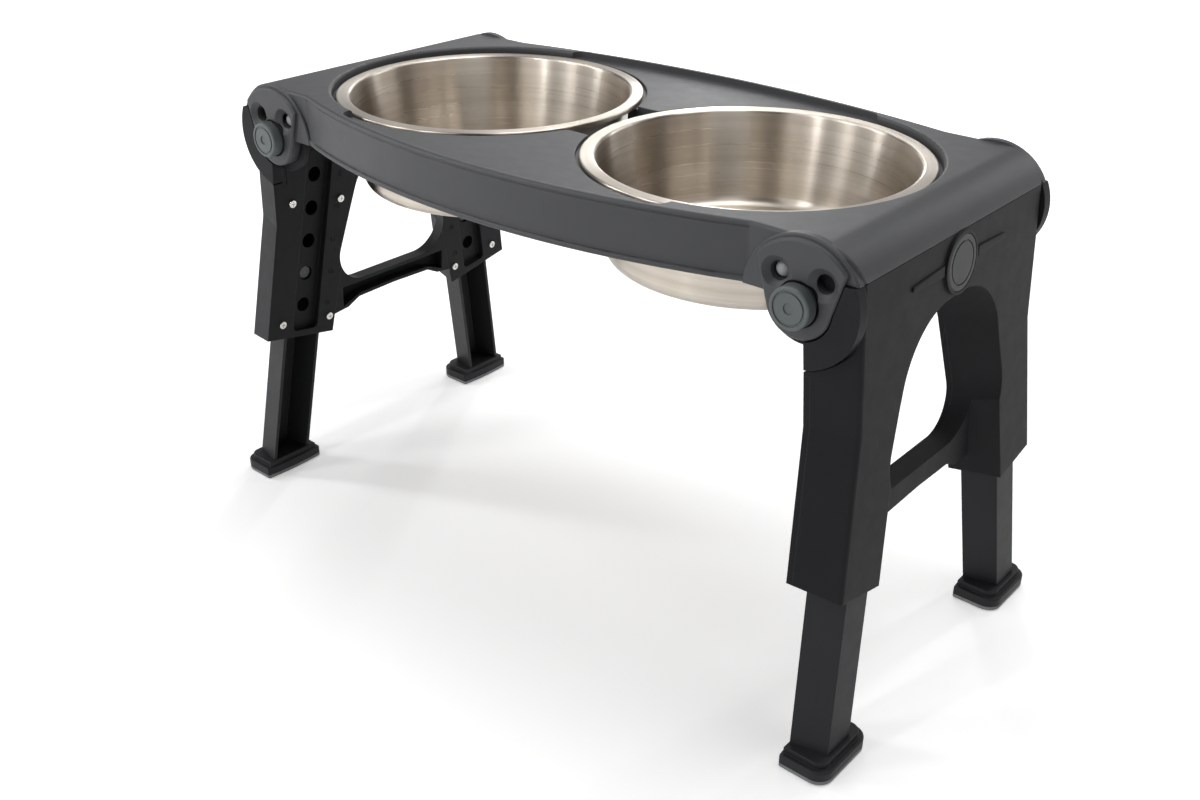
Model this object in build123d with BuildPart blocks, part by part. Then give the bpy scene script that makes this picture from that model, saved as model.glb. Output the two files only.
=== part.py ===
"""Adjustable pet feeder: a tray with two lift-out bowls on two folding leg frames.

All lengths are in millimetres. +X runs to the right end, +Y to the rear and +Z up.
The origin is on the floor below the middle of the stand. Corner pieces are modelled
once for the rear right corner and mirrored to the other three.
"""

from build123d import *
import math
import os

os.makedirs("parts", exist_ok=True)

# Stand heights
deck_z = 309.0
panel_z = 304.3
seat_z = 302.0
skirt_z = 276.0
seam_z = 291.5
shell = 3.0

# Tray plan
crease_x = 178.0
hub_wall_y = 105.0
front_bow = 31.0
rear_bow = 20.0
side_slant_x = 234.0
end_x = 244.5
end_y = 101.0
end_round_r = 24.0
end_corner_r = 4.0
end_mid_deg = 50.0
top_edge_r = 2.0
crease_r = 8.0
lip_width = 4.0
panel_x = 130.0
panel_corner_r = 9.0
bead_r = 1.8
groove_r = 0.6
groove_drop = 3.0

# Bowls
bowl_x = 110.5
rim_r = 105.0
rim_height = 3.0
rim_in_r = 2.0
rim_out_r = 1.0
rim_under_r = 0.8
bowl_wall = 1.2
wall_top_r = 97.0
bowl_bottom_z = 242.0
bowl_bottom_r = 90.2
bowl_corner_r = 8.0
well_gap = 2.5
well_hole_r = 98.5
ring_extra = 0.5
saddle_y = 35.0
saddle_depth = 12.0
saddle_half = 22.0
saddle_bow = 4.0

# Hinge
pivot_x = 212.5
pivot_z = 275.0
hub_r = 36.0
hub_low_r = 19.5
hub_in_y = 102.0
ring_y = 107.0
ear_y = 110.0
ear_r = 34.0
ear_left_deg = 141.0
ear_bevel = 1.0
ring_bevel = 0.8
ring_edge_min = 60.0
hub_blend_deg = 30.0
ear_right_deg = 39.3
ear_low_left = (193.0, 272.0)
ear_low_right = (230.9, 268.6)
ear_seam_right = (237.4, 291.5)
boss_r = 12.6
run_gap = 0.05
slide_gap = 0.1
detent_r = 19.2
detent_deg = 135.0
dish_r = 9.0
dish_hole_r = 5.2
track_half = 5.0
track_depth = 4.0
web_y = 98.7
web_t = 3.0
web_r = 25.0
stem_r = 9.5
button_r = 11.8
button_y = 118.0
button_gap = 1.0
button_edge_r = 1.2
button_line = (9.6, 8.4)
button_dot_r = 3.0
arm_y = 92.0
arm_t = 4.0
pin_r = 4.6
pin_flat_r = 0.6
pin_tip_y = 105.7
seat_rib_y = 84.0
seat_rib_t = 2.0
seat_rib_r = 12.0
pin_hub_r = 6.0
spring_bore_r = 5.2
wire_r = 0.6
coil_r = 4.0
coil_low_y = 86.7
coil_high_y = 105.3
coil_turns = 6
ring_groove = 0.6

# Leg frame
lean_deg = 4.5
splay_deg = 9.5
slab_low_z = 100.0
slab_kink_z = 208.0
slab_top_z = 291.1
slab_low = (260.3, 127.2)
slab_kink = (250.5, 109.0)
slab_top = (244.5, 110.0)
edge_r = 3.0
side_slope = 0.30
wall = 3.0
outer_wall = 2.4
slab_under = 10.0
arch_reach = (6.0, 12.0)
near_wall = 5.0
cavity_turn_z = 234.0
cavity_top_z = 257.0
cap_low_z = 260.0
cap_top_z = 288.1
arch_in_x = 222.0
arch_out_x = 250.0
arch_in = (144.0, 59.0, 245.0, 30.2, 22.0, 35.5)
arch_out = (142.0, 75.0, 256.0, 47.7, 34.0, 50.0)
near_low = (65.3, 77.0)
near_kink = (42.4, 58.5)
foot_plane_z = 122.76
foot_plane_side = 0.1987
foot_plane_fall = 0.12
brace_out_x = 240.0
brace_top_z = 144.0
gap_top_z = 176.0
brace_t = 3.0
brace_low = (129.0, 126.0)
brace_flat = 36.0
brace_drop_y = 47.0
brace_drop = 6.5
brace_end_drop = 8.0
brace_hollow_y = 52.0
sector_r = 35.5
sector_in_r = 20.5
sector_y = 109.5
sector_step = 9.0
ear_gap = 0.6

# Leg axis frame
leg_origin = (225.4, 82.3, 161.4)
hole_pitch = 25.4
hole_count = 5
rest_hole = 4
cover_t = 3.0
cover_top_z = 262.0
cover_overhang = 0.5
channel_half = 11.5
channel_wall = 1.4
channel_deep = 5.0
channel_floor = 1.2
channel_end = 44.0
channel_corner_r = 4.0
channel_top = 95.0
cover_step_z = 237.0
cover_step_y = 98.0
peg_hole_r = 5.6
screw_y = 22.0
screw_high = 57.5
screw_low = -36.5
screw_head_r = 3.0
screw_head_t = 1.5
screw_edge_r = 0.7
screw_slot = (3.3, 0.6)
screw_r = 1.5
screw_length = 9.0
screw_boss_r = 3.4
near_boss = 8.0

# Inner leg
leg_in = 3.3
leg_out = 25.6
leg_half_in = 16.5
leg_half_out = 11.5
leg_wall = 2.3
leg_top = 12.0
leg_floor_z = 6.0
guide_gap = 0.4
guide_h = 38.0
bridge_in = 9.0
bridge_t = 2.5
peg_r = 5.2
peg_tip = 6.5
leg_bottom_reach = -170.0
collar_r = 7.0
collar_t = 2.5
peg_coil_in = 14.7
peg_coil_out = 22.6
peg_coil_turns = 4

# Foot
pad_t = 3.0
flange_top_z = 9.0
collar_top_z = 13.0
foot_in_x = 238.6
foot_out_x = 269.0
foot_near_y = 81.5
foot_far_y = 132.0
foot_corner_r = 10.0
foot_bulge = 1.5
collar_inset = 3.5
collar_in_step = 0.8
foot_edge_r = 1.2

# End badge
badge_z = 273.0
badge_r = 16.0
badge_t = 2.5
badge_ring = 2.0
badge_ring_t = 1.5
badge_sunk = 1.0
badge_gap = 0.1
badge_line_r = 12.8
badge_edge_r = 0.6

# Selection reach and how far cutters run past a face
near = 0.01
past = 1.0


def to_xz(x, z):
    """Point on a sketch plane whose own origin is the hinge axis."""
    return (x - pivot_x, z - pivot_z)


def polar(radius, degrees):
    """Point at an angle round the hinge axis."""
    angle = math.radians(degrees)
    return (radius * math.cos(angle), radius * math.sin(angle))


def hinge_plane(y):
    """Plane across the hinge axis at y. A negative extrusion goes to the rear."""
    return Plane(origin=(pivot_x, y, pivot_z), x_dir=(1, 0, 0), z_dir=(0, -1, 0))


def inner_x(z):
    """Inner face of the leg frame at a height."""
    return leg_origin[0] - math.tan(math.radians(lean_deg)) * (z - leg_origin[2])


leg_up = Vector(-math.tan(math.radians(lean_deg)), -math.tan(math.radians(splay_deg)), 1)
leg_up = leg_up.normalized()
leg_outward = Vector(1, 0, math.tan(math.radians(lean_deg))).normalized()
leg_side = leg_up.cross(leg_outward)
leg_plane = Plane(origin=leg_origin, x_dir=leg_side, z_dir=leg_outward)

# Bowls
well_r = rim_r + well_gap
rim_z = seat_z + rim_height

with BuildPart() as right_bowl:
    with BuildSketch(Plane.XZ) as bowl_profile:
        with BuildLine():
            Polyline(
                (0, bowl_bottom_z),
                (bowl_bottom_r - bowl_wall, bowl_bottom_z),
                (wall_top_r, rim_z - bowl_wall),
                (rim_r - bowl_wall, rim_z - bowl_wall),
                (rim_r - bowl_wall, seat_z),
                (rim_r, seat_z),
                (rim_r, rim_z),
                (wall_top_r - bowl_wall, rim_z),
                (bowl_bottom_r - bowl_wall * 2, bowl_bottom_z + bowl_wall),
                (0, bowl_bottom_z + bowl_wall),
                close=True,
            )
        make_face()
        low_out = bowl_profile.vertices().sort_by(Axis.Y)[0:2].sort_by(Axis.X)[-1]
        fillet(low_out, bowl_corner_r)
        low_in = bowl_profile.vertices().filter_by(
            lambda v: abs(v.Y - bowl_bottom_z - bowl_wall) < near and v.X > bowl_bottom_r / 2
        )
        fillet(low_in, bowl_corner_r - bowl_wall)
        rim_in = bowl_profile.vertices().filter_by(
            lambda v: abs(v.Y - rim_z) < near and v.X < wall_top_r
        )
        fillet(rim_in, rim_in_r)
        rim_under = bowl_profile.vertices().filter_by(
            lambda v: abs(v.Y - rim_z + bowl_wall) < near and abs(v.X - wall_top_r) < near
        )
        fillet(rim_under, rim_under_r)
        rim_out = bowl_profile.vertices().filter_by(
            lambda v: abs(v.Y - rim_z) < near and v.X > rim_r - near
        )
        fillet(rim_out, rim_out_r)
    revolve(axis=Axis.Z)

# Tray shell
front_y = -(hub_wall_y + front_bow)
rear_y = hub_wall_y + rear_bow
front_r = (crease_x**2 + front_bow**2) / (2 * front_bow)
rear_r = (crease_x**2 + rear_bow**2) / (2 * rear_bow)
lip_front = front_y + lip_width
lip_rear = rear_y - lip_width
lip_front_side = lip_front + front_r - math.sqrt(front_r**2 - panel_x**2)
lip_rear_side = lip_rear - rear_r + math.sqrt(rear_r**2 - panel_x**2)
round_z = deck_z - end_round_r
round_x = end_x - math.sqrt(end_round_r**2 - (seam_z - round_z) ** 2)
inner_r = end_round_r - shell
inner_end_x = end_x - shell
inner_seam_z = round_z + math.sqrt(inner_r**2 - (inner_end_x - round_x) ** 2)
round_turn = math.radians(end_mid_deg)
round_mid = (round_x + end_round_r * math.cos(round_turn), round_z + end_round_r * math.sin(round_turn))
inner_mid = (round_x + inner_r * math.cos(round_turn), round_z + inner_r * math.sin(round_turn))
skirt_end_x = pivot_x - hub_low_r
ring_wall = shell + ring_extra
mid_deg = 90

with BuildSketch() as tray_plan:
    with BuildLine():
        ThreePointArc((-crease_x, -hub_wall_y), (0, front_y), (crease_x, -hub_wall_y))
        Polyline(
            (crease_x, -hub_wall_y),
            (side_slant_x, -hub_wall_y),
            (end_x, -end_y),
            (end_x, end_y),
            (side_slant_x, hub_wall_y),
            (crease_x, hub_wall_y),
        )
        ThreePointArc((crease_x, hub_wall_y), (0, rear_y), (-crease_x, hub_wall_y))
        Polyline(
            (-crease_x, hub_wall_y),
            (-side_slant_x, hub_wall_y),
            (-end_x, end_y),
            (-end_x, -end_y),
            (-side_slant_x, -hub_wall_y),
            (-crease_x, -hub_wall_y),
        )
    make_face()
    fillet(tray_plan.vertices().filter_by(lambda v: abs(v.X) > end_x - near), end_corner_r)
    fillet(tray_plan.vertices().filter_by(lambda v: abs(abs(v.X) - crease_x) < 1), crease_r)

with BuildSketch() as tray_plan_inner:
    add(tray_plan.sketch)
    offset(amount=-shell, kind=Kind.INTERSECTION, mode=Mode.REPLACE)

# The panel between the bowls is lower than the deck, inside a narrow lip
with BuildSketch() as panel_plan:
    with BuildLine():
        ThreePointArc((-panel_x, lip_front_side), (0, lip_front), (panel_x, lip_front_side))
        Line((panel_x, lip_front_side), (panel_x, lip_rear_side))
        ThreePointArc((panel_x, lip_rear_side), (0, lip_rear), (-panel_x, lip_rear_side))
        Line((-panel_x, lip_rear_side), (-panel_x, lip_front_side))
    make_face()
    fillet(panel_plan.vertices(), panel_corner_r)

with BuildSketch() as panel_plan_under:
    add(panel_plan.sketch)
    offset(amount=shell, kind=Kind.INTERSECTION, mode=Mode.REPLACE)

with BuildPart() as tray_outer:
    with BuildSketch(Plane.XY.offset(skirt_z)):
        add(tray_plan.sketch)
    extrude(amount=deck_z - skirt_z)
    with BuildSketch(Plane.XZ.offset(hub_wall_y * 2)):
        with BuildLine():
            Polyline((0, skirt_z), (0, deck_z), (round_x, deck_z))
            ThreePointArc((round_x, deck_z), round_mid, (end_x, seam_z))
            Polyline((end_x, seam_z), (skirt_end_x, seam_z), (skirt_end_x, skirt_z), (0, skirt_z))
        make_face()
        mirror(about=Plane.YZ)
    extrude(amount=-hub_wall_y * 4, mode=Mode.INTERSECT)
    top_edges = tray_outer.edges().filter_by(
        lambda e: e.center().Z > deck_z - near and abs(e.center().Y) > end_y
    )
    fillet(top_edges, top_edge_r)

with BuildPart() as tray_hollow:
    with BuildSketch(Plane.XY.offset(skirt_z - shell)):
        add(tray_plan_inner.sketch)
    extrude(amount=deck_z - skirt_z)
    with BuildSketch(Plane.XZ.offset(hub_wall_y * 2)):
        with BuildLine():
            Polyline((0, skirt_z - shell), (0, deck_z - shell), (round_x, deck_z - shell))
            ThreePointArc((round_x, deck_z - shell), inner_mid, (inner_end_x, inner_seam_z))
            Polyline(
                (inner_end_x, inner_seam_z),
                (inner_end_x, skirt_z - shell),
                (0, skirt_z - shell),
            )
        make_face()
        mirror(about=Plane.YZ)
    extrude(amount=-hub_wall_y * 4, mode=Mode.INTERSECT)
    with BuildSketch(Plane.XY.offset(panel_z - shell)):
        add(panel_plan_under.sketch)
    extrude(amount=deck_z - panel_z + shell, mode=Mode.SUBTRACT)
    with BuildSketch(Plane.XY.offset(seat_z - shell)):
        with Locations((bowl_x, 0), (-bowl_x, 0)):
            Circle(well_r + ring_wall)
    extrude(amount=deck_z - seat_z + shell, mode=Mode.SUBTRACT)
    with BuildSketch(Plane.XY.offset(seat_z - saddle_depth - shell)):
        Rectangle(2 * (saddle_half + shell), 2 * (saddle_y + saddle_bow + shell))
    extrude(amount=saddle_depth + shell + deck_z - seat_z, mode=Mode.SUBTRACT)

# Round hub and ear of one corner, in the plane across the hinge
with BuildPart() as hub_solid:
    with BuildSketch(hinge_plane(hub_in_y)):
        Circle(hub_r)
        with BuildLine():
            Polyline(
                to_xz(pivot_x - 2 * hub_r, skirt_z),
                to_xz(pivot_x + 2 * hub_r, skirt_z),
                to_xz(pivot_x + 2 * hub_r, skirt_z - 2 * hub_r),
                to_xz(pivot_x - 2 * hub_r, skirt_z - 2 * hub_r),
                close=True,
            )
        make_face(mode=Mode.SUBTRACT)
        with BuildLine():
            Polyline(
                to_xz(*ear_low_right),
                to_xz(*ear_seam_right),
                to_xz(pivot_x + 2 * hub_r, seam_z),
                to_xz(pivot_x + 2 * hub_r, ear_low_right[1]),
                close=True,
            )
        make_face(mode=Mode.SUBTRACT)
        Circle(hub_low_r)
        with BuildLine():
            Polyline(
                to_xz(*ear_low_left),
                polar(hub_low_r, 180 - hub_blend_deg),
                polar(hub_low_r, hub_blend_deg),
                to_xz(*ear_seam_right),
                to_xz(*ear_low_right),
                close=True,
            )
        make_face()
    extrude(amount=-(ring_y - hub_in_y))
    ring_edges = hub_solid.edges().filter_by(
        lambda e: abs(e.center().Y - ring_y) < near and e.length > ring_edge_min
    )
    chamfer(ring_edges, ring_bevel)
    with BuildSketch(hinge_plane(ring_y)) as ear_sketch:
        Circle(hub_low_r)
        with BuildLine():
            Polyline(
                polar(ear_r, ear_right_deg),
                to_xz(*ear_low_right),
                (0, 0),
                to_xz(*ear_low_left),
                polar(ear_r, ear_left_deg),
            )
            ThreePointArc(polar(ear_r, ear_left_deg), polar(ear_r, mid_deg), polar(ear_r, ear_right_deg))
        make_face()
    extrude(amount=-(ear_y - ring_y))
    ear_edges = hub_solid.edges().filter_by(lambda e: abs(e.center().Y - ear_y) < near)
    chamfer(ear_edges, ear_bevel)

# Button bore, dished holes and the curved track behind them
out_r = detent_r + track_half
in_r = detent_r - track_half
low_deg = 180 - detent_deg

with BuildPart() as hub_cuts:
    with BuildSketch(hinge_plane(web_y)):
        Circle(boss_r + run_gap)
    extrude(amount=-(button_y - web_y))
    with BuildSketch(hinge_plane(hub_in_y - past)):
        with BuildLine():
            ThreePointArc(polar(out_r, low_deg), polar(out_r, mid_deg), polar(out_r, detent_deg))
            Line(polar(out_r, detent_deg), polar(in_r, detent_deg))
            ThreePointArc(polar(in_r, detent_deg), polar(in_r, mid_deg), polar(in_r, low_deg))
            Line(polar(in_r, low_deg), polar(out_r, low_deg))
        make_face()
        with Locations(polar(detent_r, low_deg), polar(detent_r, detent_deg)):
            Circle(track_half)
    extrude(amount=-(track_depth + past))
    with BuildSketch(hinge_plane(hub_in_y + track_depth - past / 2)):
        with Locations(polar(detent_r, low_deg), polar(detent_r, detent_deg)):
            Circle(dish_hole_r)
    extrude(amount=-(ring_y - hub_in_y - track_depth + past))
    for turn in (low_deg, detent_deg):
        dish_at = hinge_plane(ear_y) * Location((*polar(detent_r, turn), 0))
        with Locations(dish_at):
            Cone(dish_r, dish_hole_r, ear_y - ring_y, align=(Align.CENTER, Align.CENTER, Align.MIN))


with BuildPart() as well_cut:
    with BuildSketch(Plane.XZ):
        flare_z = deck_z - top_edge_r
        flare_turn = top_edge_r / math.sqrt(2)
        with BuildLine():
            Polyline((0, seat_z), (well_r, seat_z), (well_r, flare_z))
            ThreePointArc(
                (well_r, flare_z),
                (well_r + top_edge_r - flare_turn, flare_z + flare_turn),
                (well_r + top_edge_r, deck_z),
            )
            Polyline(
                (well_r + top_edge_r, deck_z),
                (well_r + top_edge_r, deck_z + shell),
                (0, deck_z + shell),
                (0, seat_z),
            )
        make_face()
    revolve(axis=Axis.Z)
    with BuildSketch(Plane.XY.offset(skirt_z - shell)):
        Circle(well_hole_r)
    extrude(amount=seat_z - skirt_z + shell)

# Half-round bead along the lower edge of the bowed skirt, groove near the top
with BuildPart() as front_bead:
    with BuildLine() as front_bead_path:
        ThreePointArc(
            (-crease_x, -hub_wall_y, skirt_z + bead_r),
            (0, front_y, skirt_z + bead_r),
            (crease_x, -hub_wall_y, skirt_z + bead_r),
        )
    with BuildSketch(Plane(origin=front_bead_path.line @ 0, z_dir=front_bead_path.line % 0)):
        Circle(bead_r)
    sweep()

with BuildPart() as rear_bead:
    with BuildLine() as rear_bead_path:
        ThreePointArc(
            (-crease_x, hub_wall_y, skirt_z + bead_r),
            (0, rear_y, skirt_z + bead_r),
            (crease_x, hub_wall_y, skirt_z + bead_r),
        )
    with BuildSketch(Plane(origin=rear_bead_path.line @ 0, z_dir=rear_bead_path.line % 0)):
        Circle(bead_r)
    sweep()

with BuildPart() as front_groove:
    with BuildLine() as front_groove_path:
        ThreePointArc(
            (-crease_x, -hub_wall_y, deck_z - groove_drop),
            (0, front_y, deck_z - groove_drop),
            (crease_x, -hub_wall_y, deck_z - groove_drop),
        )
    with BuildSketch(Plane(origin=front_groove_path.line @ 0, z_dir=front_groove_path.line % 0)):
        Circle(groove_r)
    sweep()

with BuildPart() as rear_groove:
    with BuildLine() as rear_groove_path:
        ThreePointArc(
            (-crease_x, hub_wall_y, deck_z - groove_drop),
            (0, rear_y, deck_z - groove_drop),
            (crease_x, hub_wall_y, deck_z - groove_drop),
        )
    with BuildSketch(Plane(origin=rear_groove_path.line @ 0, z_dir=rear_groove_path.line % 0)):
        Circle(groove_r)
    sweep()

with BuildPart() as tray:
    add(tray_outer.part)
    add(tray_hollow.part, mode=Mode.SUBTRACT)
    with BuildSketch(Plane.XY.offset(panel_z)):
        add(panel_plan.sketch)
    extrude(amount=deck_z - panel_z + shell, mode=Mode.SUBTRACT)
    with Locations((bowl_x, 0), (-bowl_x, 0)):
        add(well_cut.part, mode=Mode.SUBTRACT)
    with BuildSketch(Plane.XY.offset(seat_z - saddle_depth)):
        with BuildLine():
            nose_y = saddle_y + saddle_bow
            ThreePointArc((-saddle_half, nose_y), (0, saddle_y), (saddle_half, nose_y))
            Line((saddle_half, nose_y), (saddle_half, -nose_y))
            ThreePointArc((saddle_half, -nose_y), (0, -saddle_y), (-saddle_half, -nose_y))
            Line((-saddle_half, -nose_y), (-saddle_half, nose_y))
        make_face()
    extrude(amount=saddle_depth + deck_z - seat_z, mode=Mode.SUBTRACT)
    add(front_bead.part)
    add(rear_bead.part)
    add(front_groove.part, mode=Mode.SUBTRACT)
    add(rear_groove.part, mode=Mode.SUBTRACT)
    add(hub_solid.part)
    add(mirror(hub_solid.part, about=Plane.YZ, mode=Mode.PRIVATE))
    add(mirror(hub_solid.part, about=Plane.XZ, mode=Mode.PRIVATE))
    add(hub_solid.part.rotate(Axis.Z, 180))
    add(hub_cuts.part, mode=Mode.SUBTRACT)
    add(mirror(hub_cuts.part, about=Plane.YZ, mode=Mode.PRIVATE), mode=Mode.SUBTRACT)
    add(mirror(hub_cuts.part, about=Plane.XZ, mode=Mode.PRIVATE), mode=Mode.SUBTRACT)
    add(hub_cuts.part.rotate(Axis.Z, 180), mode=Mode.SUBTRACT)

# Leg frame, right rear half
def blend(first, last, share):
    """Values part of the way from one set to another."""
    return tuple(a + (b - a) * share for a, b in zip(first, last))


def slab_at(z):
    """Outer x and far y of the leg frame at a height."""
    if z < slab_kink_z:
        return blend(slab_low, slab_kink, (z - slab_low_z) / (slab_kink_z - slab_low_z))
    return blend(slab_kink, slab_top, (z - slab_kink_z) / (slab_top_z - slab_kink_z))


def far_y(x, z):
    """Far side of the leg frame at a place on it."""
    return slab_at(z)[1] - side_slope * (x - inner_x(z))


def near_y(x, z):
    """Side of the leg that faces the middle of the frame."""
    near_in, near_out = blend(near_low, near_kink, (z - slab_low_z) / (slab_kink_z - slab_low_z))
    return near_in + (near_out - near_in) * (x - inner_x(z)) / (slab_at(z)[0] - inner_x(z))


def slab_outline(z):
    """Plan of the whole leg frame half at a height."""
    x_in = inner_x(z)
    x_out = slab_at(z)[0]
    return [(x_in, 0), (x_out, 0), (x_out, far_y(x_out, z)), (x_in, far_y(x_in, z))]


def cavity_outline(z, limit_y):
    """Plan of the hollow for the inner leg at a height."""
    x_in = inner_x(z) - 2 * wall
    x_out = slab_at(z)[0] - outer_wall
    far_in = min(limit_y, far_y(x_in, z) - wall)
    far_out = min(limit_y, far_y(x_out, z) - wall)
    near_in = near_y(x_in, z) + near_wall
    near_out = near_y(x_out, z) + near_wall
    return [(x_in, near_in), (x_out, near_out), (x_out, far_out), (x_in, far_in)]


bottom_normal = Vector(foot_plane_fall, -foot_plane_side, 1).normalized()
bottom_origin = (inner_x(slab_low_z), 0, foot_plane_z - foot_plane_fall * inner_x(slab_low_z))
bottom_plane = Plane(origin=bottom_origin, x_dir=(1, 0, -foot_plane_fall), z_dir=bottom_normal)
leg_section = Plane(origin=leg_origin, x_dir=leg_outward, z_dir=leg_up)
low_z = slab_low_z - slab_under
frame_far = 2 * hub_wall_y

with BuildPart() as arch_cut:
    for x in (arch_in_x - arch_reach[0], arch_out_x + arch_reach[1]):
        share = (x - arch_in_x) / (arch_out_x - arch_in_x)
        low, low_half, top, top_half, low_r, top_r = blend(arch_in, arch_out, share)
        with BuildSketch(Plane.YZ.offset(x)) as arch_sketch:
            with BuildLine():
                Polyline(
                    (-low_half, low),
                    (low_half, low),
                    (top_half, top),
                    (-top_half, top),
                    close=True,
                )
            make_face()
            fillet(arch_sketch.vertices().sort_by(Axis.Y)[0:2], low_r)
            fillet(arch_sketch.vertices().sort_by(Axis.Y)[-2:], top_r)
    loft(ruled=True)

with BuildPart() as brace_gap:
    for x in (arch_in_x - arch_reach[0], arch_out_x + arch_reach[1]):
        share = (x - inner_x(low_z)) / (slab_at(low_z)[0] - inner_x(low_z))
        low = blend((brace_low[0],), (brace_low[1],), share)[0]
        end_z = low - brace_end_drop
        with BuildSketch(Plane.YZ.offset(x)):
            with BuildLine():
                Polyline(
                    (-1, low_z),
                    (-1, low),
                    (brace_flat, low - past),
                    (brace_drop_y, low - brace_drop),
                    (near_y(x, end_z), end_z),
                    (near_y(x, low_z), low_z),
                    close=True,
                )
            make_face()
    loft(ruled=True)

with BuildPart() as front_gap:
    for x in (brace_out_x, arch_out_x + arch_reach[1]):
        top = gap_top_z
        with BuildSketch(Plane.YZ.offset(x)):
            with BuildLine():
                Polyline(
                    (-1, low_z),
                    (-1, top),
                    (near_y(x, top), top),
                    (near_y(x, low_z), low_z),
                    close=True,
                )
            make_face()
    loft(ruled=True)

with BuildPart() as frame_block:
    for z in (slab_low_z, slab_kink_z, slab_top_z):
        with BuildSketch(Plane.XY.offset(z)) as slab_sketch:
            with BuildLine():
                Polyline(*slab_outline(z), close=True)
            make_face()
            fillet(slab_sketch.vertices().group_by(Axis.X)[-1].sort_by(Axis.Y)[-1], edge_r)
    loft(ruled=True)
    add(arch_cut.part, mode=Mode.SUBTRACT)
    add(brace_gap.part, mode=Mode.SUBTRACT)
    add(front_gap.part, mode=Mode.SUBTRACT)
    split(bisect_by=bottom_plane, keep=Keep.TOP)

# Hollow behind the leg cover, with the mouth plate and one guide rib left standing
with BuildPart() as leg_cavity:
    for z in (low_z, slab_kink_z, cavity_turn_z):
        with BuildSketch(Plane.XY.offset(z)):
            with BuildLine():
                Polyline(*cavity_outline(z, frame_far), close=True)
            make_face()
    loft(ruled=True)
    split(bisect_by=bottom_plane.offset(wall), keep=Keep.TOP)

with BuildPart() as leg_cavity_top:
    for z in (cavity_turn_z - past, cavity_top_z):
        with BuildSketch(Plane.XY.offset(z)):
            with BuildLine():
                Polyline(*cavity_outline(z, web_y), close=True)
            make_face()
    loft(ruled=True)

with BuildPart() as guide_rib:
    with BuildSketch(leg_section.offset(guide_h)):
        with Locations((leg_out, 0)):
            Rectangle(frame_far, frame_far)
    extrude(amount=wall)

with BuildPart() as leg_space:
    with BuildSketch(leg_section.offset(leg_bottom_reach)) as leg_space_sketch:
        with BuildLine():
            Polyline(
                (leg_in, -leg_half_in),
                (leg_out, -leg_half_out),
                (leg_out, leg_half_out),
                (leg_in, leg_half_in),
                close=True,
            )
        make_face()
        offset(amount=guide_gap, kind=Kind.INTERSECTION)
    extrude(amount=channel_top - leg_bottom_reach)

with BuildPart() as cap_cavity:
    for z in (cap_low_z, cap_top_z):
        x_out = slab_at(z)[0] - wall
        with BuildSketch(Plane.XY.offset(z)):
            with BuildLine():
                Polyline(
                    (inner_x(z) - wall, -1),
                    (x_out, -1),
                    (x_out, web_y),
                    (inner_x(z) - wall, web_y),
                    close=True,
                )
            make_face()
    loft(ruled=True)

# Outline of the leg cover seen from the end of the stand
with BuildPart() as cover_region:
    with BuildSketch(Plane.YZ.offset(pivot_x - hub_r)):
        near_low_y = near_y(inner_x(low_z), low_z) - cover_overhang
        near_top_y = near_y(inner_x(cover_top_z), cover_top_z) - cover_overhang
        with BuildLine():
            Polyline(
                (near_low_y, low_z),
                (near_top_y, cover_top_z),
                (cover_step_y, cover_top_z),
                (cover_step_y, cover_step_z),
                (frame_far, cover_step_z),
                (frame_far, low_z),
                close=True,
            )
        make_face()
    extrude(amount=3 * hub_r)
    split(bisect_by=leg_plane.offset(cover_t), keep=Keep.BOTTOM)

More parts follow.
